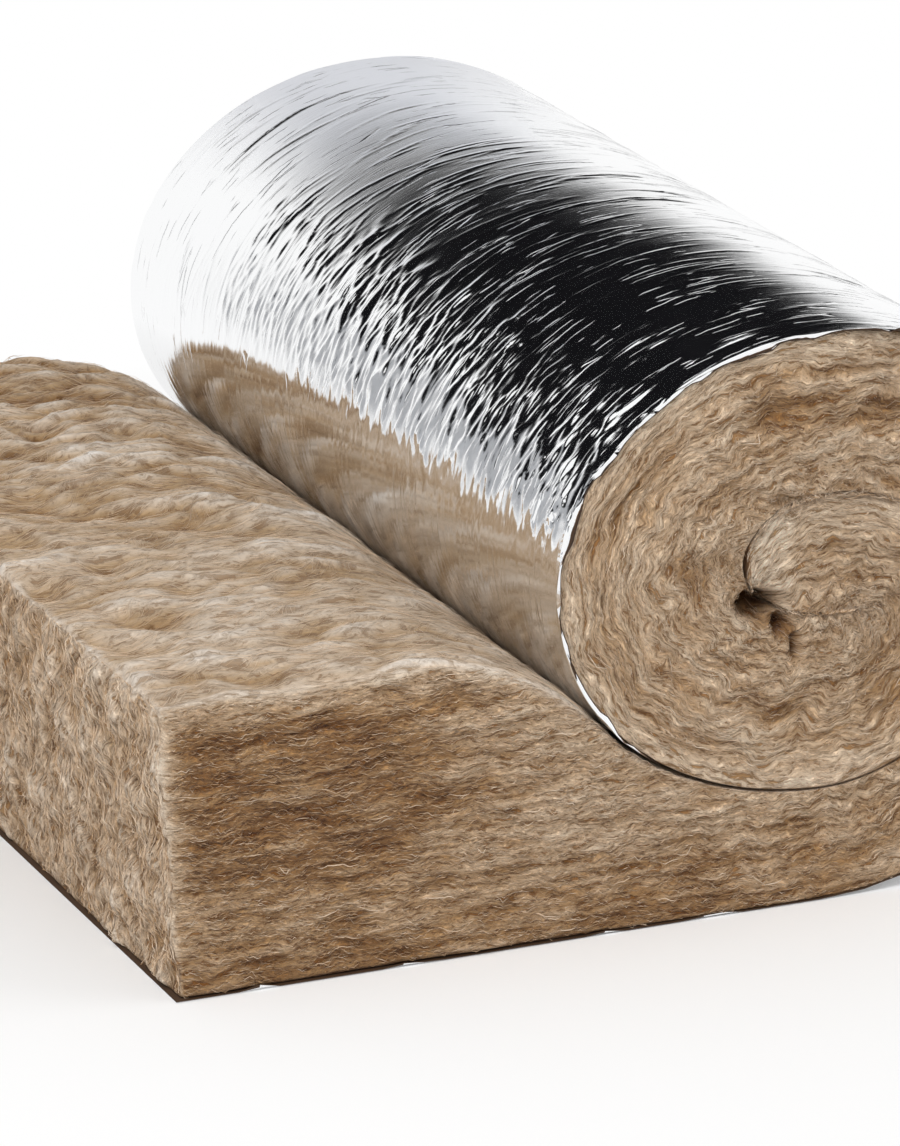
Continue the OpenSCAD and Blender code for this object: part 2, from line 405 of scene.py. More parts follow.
def wool_relief(s, t, y, side, end, top):
    """How far the wool stands out, and how pale it is, on the cut sides, the cut end and the top.

    Each kind of hill is given by its length along, across and through the blanket, and its seed.
    """
    laid = layer_height(s, t, y)
    broad = billow(s / 0.055, y / 0.055, laid / 0.0085, 4)
    fine = billow(s / 0.024, y / 0.026, laid / 0.0034, 5)
    clump = billow(s / 0.030, y / 0.022, t / 0.034, 6)
    drawn_s = s + 0.014 * billow(s / 0.045, y / 0.060, 0.3, 17)
    drawn_y = y + 0.012 * billow(s / 0.050, y / 0.050, 0.7, 18)
    pillow = billow(s / 0.060, y / 0.045, t / 0.300, 8)
    comb = puffed(billow(drawn_s / 0.036, drawn_y / 0.012, t / 0.300, 9))
    lump = puffed(billow(drawn_s / 0.060, drawn_y / 0.028, t / 0.300, 10))
    crimp = puffed(billow(drawn_s / 0.022, drawn_y / 0.0095, t / 0.300, 19))
    wrinkled = 0.55 + 0.60 * eased(-0.08, 0.20, y) * (1 - eased(0.22, 0.32, s))
    lock = puffed(billow(s / 0.050, y / 0.019, t / 0.030, 11))
    curl = puffed(billow(s / 0.050, y / 0.008, t / 0.012, 12))
    wound = eased(roll_start - 0.02, roll_start + 0.08, s)
    rim = wound * (1 - eased(0.008, 0.018, t))
    cut_inner_end = eased(along[-1] - 0.034, along[-1] - 0.014, s)
    frayed = cut_inner_end * puffed(billow(s / 0.018, y / 0.030, t / 0.013, 20))
    drop = top_drop(np.interp(s, along, bare_side[:, 0]), y)
    torn_out = wound * (1 - rim) * np.clip(2.2 * billow(s / 0.040, y / 0.040, t / 0.030, 15) - 0.5, 0, 1)

    # Heights
    cut = (0.0013 * broad + 0.0019 * fine + 0.0026 * clump) * (1 - 0.6 * rim)
    cut = cut - 0.006 * torn_out + 0.0035 * frayed
    torn = 0.0035 * clump + 0.0048 * lock + 0.0026 * curl
    laid_top = 0.0034 * pillow + (0.0030 * comb + 0.0036 * lump + 0.0014 * crimp) * wrinkled - drop
    height = side * cut + end * torn + top * laid_top

    # Shades, from brown binder to pale fibre, with painted shade in the hollows and painted light on the
    # puffs and edges
    by_the_end = eased(0.0, 0.02, s) * (1 - eased(0.08, 0.22, s))
    binder = by_the_end * eased(0.02, 0.08, t) * (1 - eased(0.135, 0.152, t))
    # The layers' tone uses the same hills as the cut faces' relief. It is partly the layers' own streaks,
    # partly painted shade in their hollows and painted light on their ridges.
    strata = (0.24 * broad + 0.60 * fine + 0.16 * clump) * (1 - 0.5 * rim) * (1 - 0.5 * cut_inner_end)
    foot = (1 - eased(0.0, 0.06, t)) * (1 - wound)
    # Where wool is torn out of the roll's ends, the colour is painted darker as shade in the hollow. The
    # inner end's frayed clumps are painted paler on their puffs and darker between them.
    shade_cut = strata - 0.82 * binder - 0.64 * foot - 0.6 * torn_out + 0.20
    shade_cut = shade_cut + 0.35 * rim + 0.75 * cut_inner_end + 0.4 * frayed
    # The cut end's clumps, locks and curls are painted paler where they stand out, as painted light, and
    # darker between them, as painted shade.
    shade_torn = 0.45 * clump + 0.55 * lock + 0.45 * curl + 0.20
    # The top's colour follows its own relief. Its puffs are painted paler, as painted light. Its hollows
    # and the creases between puffs are painted darker, as painted shade.
    shade_top = 0.35 * pillow + (0.66 * comb + 0.56 * lump + 0.34 * crimp) * wrinkled + 0.09 - 60.0 * drop
    # The tail's rounded edges are painted paler, as painted light along them.
    edge = 4 * (side * top + side * end + top * end)
    shade = side * shade_cut + end * shade_torn + top * shade_top + 0.38 * edge * (1 - wound)
    return height, shade


# How round the blanket's edges are: soft on the tail, sharper at its foot, and shut between the turns
edge_soft = 0.013
edge_foot = 0.0035
edge_tight = 0.0009
edge_shut = 0.0002
shut_gapes = 0.0012
most_foil_edge = 0.004

# How the wool lies on the foil, and how it is pinched where the roll meets the tail's top
foil_cover = 0.0008
shut_overlap = 0.0011
shut_band = 0.006
calm_depth = 0.006
turn_calm_depth = 0.004
pinch_run = 0.05
pinch_depth = 0.002

# A dark pit is left open at the lower side of the inner end, on both ends of the roll, and a crack
# runs down from it. Each is given as its place, its half width and half height, and its depth.
# Their colour is also painted darker, as painted shade in the pits.
pits = (
    ((roll_x - 0.036, fold_top + 0.008), (0.013, 0.009), 0.036),
    ((roll_x - 0.023, fold_top - 0.004), (0.006, 0.008), 0.018),
    ((roll_x - 0.016, fold_top - 0.016), (0.003, 0.009), 0.012))


def edge_wound(s):
    """From 0 where the tail's edges are soft to 1 where they are pressed under the roll and in it."""
    return eased(roll_start - 0.16, roll_start - 0.02, s)


def shut_in(s):
    """From 0 where the facing is outside to 1 where the next turn covers it."""
    return eased(third_turn - 0.02, third_turn + 0.02, s)


def edge_round(s, share):
    """Radius of the blanket's long edges, by the length along it and the share of its depth."""
    wound = edge_wound(s)
    uneven = 0.75 + 0.6 * billow(s / 0.035, 4 * share, 0.5, 14)
    on_tail = edge_foot + (edge_soft * uneven - edge_foot) * eased(0.2, 0.8, share)
    bare_edge = eased(roll_start, roll_start + 0.06, s) * (share > 0.5)
    shut = bare_edge + shut_in(s) * (share < 0.5)
    gape = shut_gapes * np.clip(2 * billow(s / 0.040, 3 * share, 0.5, 13) - 0.2, 0, 1)
    return on_tail * (1 - wound) + wound * (edge_tight * (1 - shut) + (edge_shut + gape) * shut)


def on_wool(s, t, y, raised=0.0):
    """Moves points of the plain blanket onto the soft, rounded and tufted one."""
    full = depth_at(s)
    wound = edge_wound(s)
    soft = edge_round(s, t / full)
    half = blanket_width / 2
    inner_s = np.clip(s, soft, along[-1] - 0.002)
    inner_t = np.clip(t, np.minimum(soft, most_foil_edge), full - soft)
    inner_y = np.clip(y, -half + soft, half - soft)
    out = np.stack([s - inner_s, t - inner_t, y - inner_y], axis=-1)
    reach = np.maximum(np.linalg.norm(out, axis=-1), 1e-9)
    out = out / reach[..., None]
    round_by = np.minimum(soft, reach)
    end = np.clip(-out[..., 0], 0, 1) ** 2
    top = np.clip(out[..., 1], 0, 1) ** 2
    side = out[..., 2] ** 2
    height, shade = wool_relief(s, t, y, side, end, top)
    against_foil = eased(0.0, calm_depth, t) * (1 - wound * (1 - eased(0.0, turn_calm_depth, full - t)))
    height = height * (0.25 + 0.75 * against_foil)
    pinched = eased(along[contact_column] - pinch_run, along[contact_column], s) * top
    height = height * (1 - 0.8 * pinched) - pinch_depth * pinched
    moved = round_by + height + raised
    s_new = inner_s + out[..., 0] * moved
    shut = shut_in(s) * (np.abs(y) > half - shut_band)
    t_new = np.maximum(inner_t + out[..., 1] * moved, foil_cover - shut_overlap * shut)
    y_new = inner_y + out[..., 2] * moved
    points = placed(s_new, t_new, y_new)
    in_pit = 0.0
    pit_depth = 0.0
    for place, size, pit in pits:
        from_pit = [(points[..., 2 * k] - place[k]) / size[k] for k in (0, 1)]
        here = side * np.exp(-1.6 * (from_pit[0] ** 2 + from_pit[1] ** 2))
        in_pit = np.maximum(in_pit, here)
        pit_depth = np.maximum(pit_depth, pit * here)
    points[..., 1] -= np.sign(points[..., 1]) * pit_depth
    laid_at = np.stack(np.broadcast_arrays(s, y, layer_height(s, t, y)), axis=-1)
    # The pits are painted darker: painted shade.
    return points, shade - 1.4 * in_pit, laid_at, np.stack([end, top, side], axis=-1)


across_rows = 236
layer_rows = 80
layer_share = np.linspace(0, 1, layer_rows + 1)
across = blanket_width * np.linspace(-0.5, 0.5, across_rows + 1)
side_s = np.repeat(along[:, None], layer_rows + 1, axis=1)
side_t = depth[:, None] * layer_share[None, :]
top_shape = (contact_column + 1, across_rows - 1)
end_shape = (layer_rows, across_rows - 1)
plain_parts = [
    (side_s, side_t, np.full(side_s.shape, -blanket_width / 2)),
    (side_s, side_t, np.full(side_s.shape, blanket_width / 2)),
    tuple(np.broadcast_to(a, top_shape) for a in (
        along[:top_shape[0], None], depth[:top_shape[0], None], across[1:-1])),
    tuple(np.broadcast_to(a, end_shape) for a in (0.0, side_t[0, :-1, None], across[1:-1]))]
plain_s, plain_t, plain_y = (np.concatenate([part[k].ravel() for part in plain_parts]) for k in range(3))

# Numbers of the points on each face, with the shared edges taken from the two cut sides
front = np.arange(side_s.size).reshape(side_s.shape)
back = side_s.size + front
top = np.empty((contact_column + 1, across_rows + 1), dtype=np.int64)
top[:, 0] = front[:contact_column + 1, -1]
top[:, -1] = back[:contact_column + 1, -1]
top[:, 1:-1] = 2 * side_s.size + np.arange(top_shape[0] * top_shape[1]).reshape(top_shape)
end = np.empty((layer_rows + 1, across_rows + 1), dtype=np.int64)
end[:, 0] = front[0]
end[:, -1] = back[0]
end[-1] = top[0]
end[:-1, 1:-1] = top[-1, -2] + 1 + np.arange(end_shape[0] * end_shape[1]).reshape(end_shape)


def quads_of(grid):
    corners = [grid[:-1, :-1], grid[1:, :-1], grid[1:, 1:], grid[:-1, 1:]]
    return np.stack(corners, axis=-1).reshape(-1, 4).tolist()


def fan(line, near, far):
    """Triangles from a line of many points to one point at each end."""
    half = len(line) // 2
    to_near = [(line[k], line[k + 1], near) for k in range(half)]
    to_far = [(line[k], line[k + 1], far) for k in range(half, len(line) - 1)]
    return to_near + [(line[half], far, near)] + to_far


hidden_top = np.stack([front[contact_column + 1:, -1], back[contact_column + 1:, -1]], axis=1)
hidden_base = np.stack([front[1:, 0], back[1:, 0]], axis=1)
inner_tip = np.stack([front[-1], back[-1]], axis=1)
wool_faces = []
for grid in (front, back[:, ::-1], top, end, hidden_top, hidden_base, inner_tip):
    wool_faces += quads_of(grid)
wool_faces += fan(top[-1], front[contact_column + 1, -1], back[contact_column + 1, -1])
wool_faces += fan(end[0], front[1, 0], back[1, 0])
wool_points, wool_shade, wool_places, wool_ways = on_wool(plain_s, plain_t, plain_y)


def linear(red, green, blue):
    """A colour as a screen shows it, from 0 to 255, in linear light."""
    shown = np.array([red, green, blue]) / 255
    return np.where(shown <= 0.04045, shown / 12.92, ((shown + 0.055) / 1.055) ** 2.4)


wool_tones = np.stack([
    linear(124, 78, 28), linear(179, 139, 94), linear(215, 185, 152), linear(246, 227, 204)])
tone_levels = [-0.95, -0.35, 0.15, 1.0]


def wool_tone(shade):
    """Colour from the dark brown of the binder and of the painted shade in hollows, to the pale ends of the
    fibre.
    """
    level = np.interp(shade, tone_levels, [0, 1, 2, 3])
    lower = np.clip(level.astype(int), 0, 2)
    part = (level - lower)[..., None]
    return wool_tones[lower] * (1 - part) + wool_tones[lower + 1] * part


def new_piece(name, points, faces):
    mesh = bpy.data.meshes.new(name)
    mesh.from_pydata(points.tolist(), [], faces)
    mesh.polygons.foreach_set("use_smooth", [True] * len(mesh.polygons))
    piece = bpy.data.objects.new(name, mesh)
    scene.collection.objects.link(piece)
    return piece


def turn_outward(piece):
    """Turns the faces of a closed piece to the outside."""
    loose = bmesh.new()
    loose.from_mesh(piece.data)
    bmesh.ops.recalc_face_normals(loose, faces=loose.faces)
    loose.to_mesh(piece.data)
    loose.free()


def keep_tone(piece, colours):
    layer = piece.data.attributes.new("tone", "FLOAT_COLOR", "POINT")
    with_alpha = np.concatenate([colours, np.ones((len(colours), 1))], axis=1)
    layer.data.foreach_set("color", with_alpha.astype(np.float32).ravel())


def keep_vectors(piece, name, vectors):
    layer = piece.data.attributes.new(name, "FLOAT_VECTOR", "POINT")
    layer.data.foreach_set("vector", vectors.astype(np.float32).ravel())


wool = new_piece("wool_blanket_body", wool_points, wool_faces)
turn_outward(wool)
seen_faces = 2 * (len(along) - 1) * layer_rows + (contact_column + layer_rows) * across_rows
wool.data.polygons.foreach_set("use_smooth", np.arange(len(wool_faces)) < seen_faces)
end_cast = wool_ways[:, 0:1] * np.array([-0.04, 0.02, 0.12])
top_cast = wool_ways[:, 1:2] * np.array([-0.13, 0.00, 0.22])
# The kept tone holds the painted shade and painted light of the wool's relief, as well as its own tone.
keep_tone(wool, wool_tone(wool_shade) * (1 + end_cast + top_cast))
keep_vectors(wool, "laid_at", wool_places)
keep_vectors(wool, "faces_end_top_side", wool_ways)


def wool_finish(name, streaked):
    """Dull fibre. The tone is kept on the mesh, and fine streaks run along the layers."""
    finish = bpy.data.materials.new(name)
    finish.use_nodes = True
    tree = finish.node_tree
    shader = tree.nodes["Principled BSDF"]
    shader.inputs["Roughness"].default_value = 0.95
    shader.inputs["Specular IOR Level"].default_value = 0.15
    shader.inputs["Sheen Weight"].default_value = 0.15
    tone = add_node(tree, "Attribute", {}, attribute_name="tone").outputs["Color"]
    if not streaked:
        tree.links.new(tone, shader.inputs["Base Color"])
        return finish
    place = add_node(tree, "Attribute", {}, attribute_name="laid_at").outputs["Vector"]
    ways = add_node(tree, "Attribute", {}, attribute_name="faces_end_top_side").outputs["Vector"]
    curl = add_node(tree, "TexNoise", {"Vector": place, "Scale": 75.0, "Detail": 4.0})
    bend = add_node(
        tree, "VectorMath", {0: curl.outputs["Color"], 1: (0.012, 0.016, 0.008), 2: place},
        operation="MULTIPLY_ADD")
    of_each = add_node(tree, "CombineXYZ", {})
    end_fineness = (90.0, 230.0, 90.0)
    top_fineness = (70.0, 170.0, 70.0)
    side_fineness = (80.0, 90.0, 380.0)
    for k, fineness in enumerate((end_fineness, top_fineness, side_fineness)):
        stretch = add_node(tree, "Mapping", {"Vector": bend.outputs["Vector"], "Scale": fineness})
        strand = add_node(tree, "TexNoise", {
            "Vector": stretch.outputs["Vector"], "Scale": 1.0, "Detail": 7.0, "Roughness": 0.74,
            "Offset": 1.0, "Gain": 2.0, "Distortion": 0.4}, noise_type="RIDGED_MULTIFRACTAL")
        tree.links.new(strand.outputs["Fac"], of_each.inputs[k])
    streak = add_node(tree, "VectorMath", {0: of_each.outputs["Vector"], 1: ways}, operation="DOT_PRODUCT")
    level = add_node(tree, "MapRange", {
        "Value": streak.outputs["Value"], "From Min": 0.7, "From Max": 2.7}).outputs["Result"]
    light_and_dark = add_node(tree, "ValToRGB", {"Fac": level})
    dark, light = light_and_dark.color_ramp.elements
    dark.position = 0.17
    dark.color = (0.40, 0.27, 0.13, 1.0)
    light.position = 0.80
    light.color = (1.34, 1.34, 1.32, 1.0)
    faces_up = add_node(tree, "SeparateXYZ", {0: ways}).outputs["Y"]
    calm_top = add_node(
        tree, "Math", {0: faces_up, 1: -0.30, 2: 0.90}, operation="MULTIPLY_ADD").outputs[0]
    toned = add_node(
        tree, "Mix", {"Factor": calm_top, "A": tone, "B": light_and_dark.outputs["Color"]},
        data_type="RGBA", blend_type="MULTIPLY")
    tree.links.new(toned.outputs["Result"], shader.inputs["Base Color"])
    fuzz = add_node(tree, "Bump", {"Strength": calm_top, "Distance": 0.0018, "Height": level})
    tree.links.new(fuzz.outputs["Normal"], shader.inputs["Normal"])
    return finish


wool.data.materials.append(wool_finish("glass_wool", True))
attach(wool, "root")
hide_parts("wool_blanket")


# The loose tufts of the wool
# Locks of fibre that the knife and the unrolling pulled out of the layers, still rooted in the blanket.
# They follow the layers on the cut sides, lie combed along the top and stand in clumps on the cut end.
chance = np.random.default_rng(5)
tuft_finish = wool_finish("glass_wool_tufts", False)


def along_layers(s, t, y, step, count):
    """Lines that start at a point and keep to one wavy layer of a cut side."""
    lines = [(s, t)]
    nudge = 0.0006
    for _ in range(count - 1):
        here = layer_height(s, t, y)
        ahead = (layer_height(s + nudge, t, y) - here) / nudge
        above = (layer_height(s, t + nudge, y) - here) / nudge
        slope = np.clip(-ahead / np.maximum(above, 0.35), -1.6, 1.6)
        level = 1 / np.sqrt(1 + slope ** 2)
        s = np.clip(s + step * level, 0.0, along[-1])
        t = np.clip(t + step * slope * level, 0.001, depth_at(s) - 0.001)
        lines.append((s, t))
    return np.stack(lines, axis=-1)


def unit(vectors):
    return vectors / np.maximum(np.linalg.norm(vectors, axis=-1), 1e-9)[..., None]


def joined_tufts(name, points, shade, width, outward_way, shade_shift):
    """Joins slender closed locks of fibre, one for each line of points, into one piece."""
    count, length = shade.shape
    heading = np.gradient(points, axis=1)
    beside = unit(np.cross(heading, outward_way))
    above = unit(np.cross(beside, heading))
    body = np.sin(np.linspace(0, math.pi, length))[1:-1]
    corners = []
    for angle in (90, 210, 330):
        way = beside * math.cos(math.radians(angle)) + above * math.sin(math.radians(angle))
        corners.append(points[:, 1:-1] + way[:, 1:-1] * (width[:, None] * body)[..., None])
    rings = np.stack(corners, axis=2).reshape(count, -1, 3)
    solid = np.concatenate([points[:, :1], rings, points[:, -1:]], axis=1)
    tip = 3 * (length - 2) + 1
    pattern = []
    for k in range(3):
        after = (k + 1) % 3
        pattern.append((0, 1 + k, 1 + after))
        pattern.append((tip, tip - 3 + after, tip - 3 + k))
        for ring in range(length - 3):
            low = 1 + 3 * ring
            pattern.append((low + k, low + 3 + k, low + after))
            pattern.append((low + after, low + 3 + k, low + 3 + after))
    faces = (np.arange(count)[:, None, None] * solid.shape[1] + np.array(pattern)[None]).reshape(-1, 3)
    piece = new_piece(name, solid.reshape(-1, 3), faces.tolist())
    # Each lock takes half of the wool's shade where it lies, including the painted shade of the hollows.
    tone = wool_tone(np.mean(shade, axis=1) * 0.5 + shade_shift)
    keep_tone(piece, np.repeat(tone, solid.shape[1], axis=0))
    piece.data.materials.append(tuft_finish)
    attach(piece, "root")
    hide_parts("wool_blanket")


def tufts(name, s, t, y, raised, width, outward_way, shade_shift):
    """Locks that keep to the wool's own face."""
    points, shade = on_wool(s, t, y, raised)[:2]
    joined_tufts(name, points, shade, width, outward_way, shade_shift)


def lifted(count, least, most, points):
    """Height of each lock above the wool: rooted at one end, higher in the middle, loose at the other."""
    height = least + (most - least) * chance.random(count) ** 3
    shape = np.sin(np.linspace(0.0, 0.8 * math.pi, points)) - 0.15
    return height[:, None] * shape[None, :]


def side_tufts(name, way, count, points, pale, widest, highest):
    """Locks on a cut side, more curled where the blanket is wound."""
    fine_s = np.linspace(0, along[-1], 2000)
    spread = np.cumsum(depth_at(fine_s))
    start_s = np.interp(chance.random(count) * spread[-1], spread, fine_s)
    start_t = (0.02 + 0.96 * chance.random(count)) * depth_at(start_s)
    across_at = np.full(count, way * blanket_width / 2)
    step = chance.uniform(0.0012, 0.0042, count) * (1 - 0.3 * on_roll(start_s))
    s, t = along_layers(start_s, start_t, across_at, step, points)
    t = np.clip(t + chance.normal(0.0, 0.0008, t.shape), 0.001, depth_at(s) - 0.001)
    width = chance.uniform(widest / 3, widest, count)
    shift = pale + chance.normal(0.0, 0.36, count)
    raised = lifted(count, highest / 11, highest, points)
    tufts(name, s, t, across_at[:, None] + 0 * s, raised, width, (0.0, way, 0.0), shift)


short_lock = {"points": 3, "pale": 0.12, "widest": 0.00024, "highest": 0.0034}
curled_lock = {"points": 6, "pale": 0.52, "widest": 0.00028, "highest": 0.0055}
side_tufts("wool_tufts_near_side", way=-1, count=31000, **short_lock)
side_tufts("wool_tufts_far_side", way=1, count=15000, **short_lock)
side_tufts("wool_curls_near_side", way=-1, count=900, **curled_lock)
side_tufts("wool_curls_far_side", way=1, count=500, **curled_lock)


def line_tufts(name, way, count):
    """Locks that cross the line between the turns on a cut side, so that it shows only here and there."""
    first = along[tail_columns + 2 * turn_columns + 30]
    s = chance.uniform(first, along[-1], (count, 1)) + chance.normal(0.0, 0.004, (count, 3))
    s = np.clip(s, first, along[-1])
    below = chance.random((count, 1)) < 0.4
    from_line = 0.002
    t = np.where(below, depth_at(s) - from_line, from_line)
    points, shade = on_wool(s, t, np.full(s.shape, way * blanket_width / 2))[:2]
    over = chance.uniform(0.001, 0.004, (count, 1)) * np.array([-1.0, 0.0, 1.0])
    over = over * chance.choice([-1, 1], (count, 1))
    over = np.where(below, over + from_line, over - from_line)
    across_x = np.interp(s, along, bare_side[:, 0] - foil_side[:, 0])
    across_z = np.interp(s, along, bare_side[:, 1] - foil_side[:, 1])
    size = np.maximum(np.hypot(across_x, across_z), 1e-9)
    points[..., 0] += across_x / size * over
    points[..., 2] += across_z / size * over
    points[..., 1] += way * chance.uniform(0.0, 0.0022, (count, 1)) * np.array([-0.3, 1.0, 0.1])
    width = chance.uniform(0.00010, 0.00026, count)
    shift = 0.05 + chance.normal(0.0, 0.36, count)
    joined_tufts(name, points, shade, width, (0.0, way, 0.0), shift)


line_tufts("wool_tufts_near_line", way=-1, count=700)
line_tufts("wool_tufts_far_line", way=1, count=400)


def top_tufts(name, count):
    """Long locks, combed along the blanket, on the tail's bare top."""
    last = along[contact_column]
    points = 4
    s = np.empty((count, points))
    y = np.empty((count, points))
    s[:, 0] = np.clip(last * chance.random(count) - 0.01, 0, last)
    y[:, 0] = blanket_width * chance.uniform(-0.5, 0.5, count)
    step = chance.uniform(0.003, 0.009, count)
    for k in range(1, points):
        turn = 0.9 * billow(s[:, k - 1] / 0.050, y[:, k - 1] / 0.040, 0.5, 31)
        turn = turn + 1.4 * billow(s[:, k - 1] / 0.014, y[:, k - 1] / 0.014, 0.5, 32) + 0.10
        s[:, k] = np.clip(s[:, k - 1] + step * np.cos(turn), 0, last)
        y[:, k] = np.clip(y[:, k - 1] + step * np.sin(turn), -blanket_width / 2, blanket_width / 2)
    t = depth_at(s)
    width = chance.uniform(0.00005, 0.00012, count)
    shift = 0.60 + chance.normal(0.0, 0.24, count)
    raised = lifted(count, least=0.0002, most=0.0022, points=points)
    tufts(name, s, t, y, raised, width, (0.0, 0.0, 1.0), shift)


top_tufts("wool_tufts_top", count=8000)


def end_tufts(name, count):
    """Short curled locks in upright clumps on the tail's cut end."""
    points = 3
    t = np.empty((count, points))
    y = np.empty((count, points))
    t[:, 0] = blanket_thickness * chance.random(count)
    y[:, 0] = blanket_width * chance.uniform(-0.5, 0.5, count)
    step = chance.uniform(0.0025, 0.0070, count)
    for k in range(1, points):
        turn = math.pi / 2 + 1.1 * billow(y[:, k - 1] / 0.020, t[:, k - 1] / 0.026, 0.5, 33)
        turn = turn + 0.9 * billow(y[:, k - 1] / 0.007, t[:, k - 1] / 0.008, 0.5, 34)
        t[:, k] = np.clip(t[:, k - 1] + step * np.sin(turn), 0.001, depth[0])
        y[:, k] = np.clip(y[:, k - 1] + step * np.cos(turn), -blanket_width / 2, blanket_width / 2)
    width = chance.uniform(0.00010, 0.00028, count)
    shift = 0.30 + chance.normal(0.0, 0.32, count)
    raised = lifted(count, least=0.0005, most=0.0042, points=points)
    tufts(name, 0 * t, t, y, raised, width, (-1.0, 0.0, 0.0), shift)


end_tufts("wool_tufts_end", count=16000)


# The foil facing
# One sheet of aluminium foil on brown paper, glued to the wool's under and outer side.
# It creased all over as the blanket was wound, and its cut edges are crumpled over the wool.
foil_depth = 0.0003
foil_overhang = 0.003

# The facing's line from the tail's cut end to the inner end, finer where it shows,
# and the angle it has wound through at each column
end_overhang = 0.002
flat_columns = 32
inner_stop = 150
flat_x = np.linspace(-tail_length - end_overhang, -tail_length / flat_columns, flat_columns)
facing_parts = [np.stack([flat_x, np.zeros(flat_columns)], axis=1)]
wind_parts = [np.full(flat_columns, -90.0)]
for turn, first, last, steps, wound_before in (
        (outer_turn, -90, 30, 14, 0), (outer_turn, 30, 90, 22, 0), (near_turn, 90, 130, 22, 0),
        (near_turn, 130, 182, 56, 0), (near_turn, 182, 236, 22, 0), (near_turn, 236, 270, 6, 0),
        (inner_turn, -90, 90, 10, 360), (inner_end, 90, inner_stop, 4, 360)):
    facing_parts.append(round_turn(turn, first, last, steps)[:-1])
    wind_parts.append(wound_before + np.linspace(first, last, steps + 1)[:-1])
facing_parts.append(round_turn(inner_end, 90, inner_stop, 1)[1:])
wind_parts.append(np.array([360.0 + inner_stop]))
facing = np.concatenate(facing_parts)
wind = np.concatenate(wind_parts)
way_along = unit(np.gradient(facing, axis=0))
outward = np.stack([way_along[:, 1], -way_along[:, 0]], axis=1)
run = length_along(facing)
foil_half = blanket_width / 2 + foil_overhang
edge_rows = np.array([0.0, 0.0008, 0.0018, 0.0032, 0.0052, 0.0080, 0.0113])
edge_band = 0.0125
between_rows = np.linspace(-foil_half + edge_band, foil_half - edge_band, 490)
rows = np.concatenate([-foil_half + edge_rows, between_rows, foil_half - edge_rows[::-1]])
shows = eased(-50, -20, wind) * (1 - eased(218, 232, wind))
on_floor = wind < -60

chance = np.random.default_rng(11)
crinkle = np.zeros((len(run), len(rows)))


def run_at(angle):
    return np.interp(angle, wind[flat_columns:], run[flat_columns:])


def press_crease(centre_run, centre_row, length, width, height, slant, seed):
    """One narrow, slightly jagged crease that runs round the roll and thins out to its ends."""
    c0, c1 = np.searchsorted(run, [centre_run - length / 2, centre_run + length / 2])
    reach = 2 * width + abs(slant) * length / 2
    r0, r1 = np.searchsorted(rows, [centre_row - reach, centre_row + reach])
    if c1 <= c0 or r1 <= r0:
        return
    from_centre = run[c0:c1] - centre_run
    fade = np.clip(1 - (2 * from_centre / length) ** 2, 0, 1)
    jag = 0.8 * width * billow(run[c0:c1] / 0.011, seed, 0.5, 23)
    line = centre_row + slant * from_centre + jag
    off = np.abs(rows[None, r0:r1] - line[:, None]) / width
    crinkle[c0:c1, r0:r1] += height * fade[:, None] * np.clip(1 - off, 0, 1)


# Each kind of crease: how many, the angles round the roll and the places across it between which they lie,
# then the least and most of their length, half width and height, and how much they slant
for many, angles, places, lengths, widths, heights, slants in (
        (150, (-40, 225), (-0.30, 0.30), (0.010, 0.040), (0.0010, 0.0014), (0.00003, 0.00012), 0.12),
        (220, (15, 172), (-0.30, 0.30), (0.025, 0.090), (0.0011, 0.0015), (0.00020, 0.00060), 0.13),
        (36, (92, 165), (0.02, 0.30), (0.012, 0.050), (0.0011, 0.0013), (0.00015, 0.00045), 0.10),
        (120, (85, 145), (-0.30, 0.10), (0.015, 0.055), (0.0011, 0.0014), (0.00015, 0.00045), 0.22),
        (1300, (136, 174), (-0.30, 0.17), (0.014, 0.045), (0.0012, 0.0024), (0.00006, 0.00042), 0.26),
        (300, (146, 176), (0.10, 0.30), (0.006, 0.020), (0.0010, 0.0016), (0.00004, 0.00016), 0.25),
        (260, (130, 170), (-0.30, 0.06), (0.015, 0.045), (0.0028, 0.0070), (0.00020, 0.00070), 0.50),
        (40, (148, 172), (-0.30, -0.24), (0.015, 0.040), (0.0020, 0.0040), (0.00030, 0.00080), 0.60)):
    for number in range(many):
        press_crease(
            chance.uniform(run_at(angles[0]), run_at(angles[1])), chance.uniform(*places),
            chance.uniform(*lengths), chance.uniform(*widths), chance.uniform(*heights),
            chance.normal(0.0, slants), number)

# Soft swells all over, and low down, where the metal mirrors the tail, streaks that run round the roll
swell_height = 0.0004
small_swell_height = 0.00014
crumple_height = 0.00011
streak_height = 0.00013
run_grid, row_grid = np.meshgrid(run, rows, indexing="ij")
low_down = eased(160, 176, wind)[:, None]
swell = swell_height * (1 - 0.5 * low_down) * (1 + billow(run_grid / 0.110, row_grid / 0.090, 0.0, 21))
small_swell = 1 + billow(run_grid / 0.050, row_grid / 0.022, 0.0, 22)
swell += small_swell_height * (1 - 0.7 * low_down) * small_swell
crumpled = eased(136, 148, wind)[:, None] * (1 - eased(0.08, 0.22, rows))[None, :]
crinkle += crumple_height * crumpled * billow(run_grid / 0.022, row_grid / 0.0050, 0.0, 24)
crinkle *= 1 - 0.65 * eased(163, 177, wind)[:, None]
crinkle += streak_height * low_down * billow(run_grid / 0.080, row_grid / 0.0046, 0.0, 25)
lift = (crinkle + swell) * shows[:, None]
foil_out = facing[:, None, :] + outward[:, None, :] * lift[..., None]
foil_y = np.repeat(rows[None, :], len(run), axis=0)
foil_in = np.repeat(facing[:, None, :] - outward[:, None, :] * foil_depth, len(rows), axis=1)
inner_y = foil_y.copy()

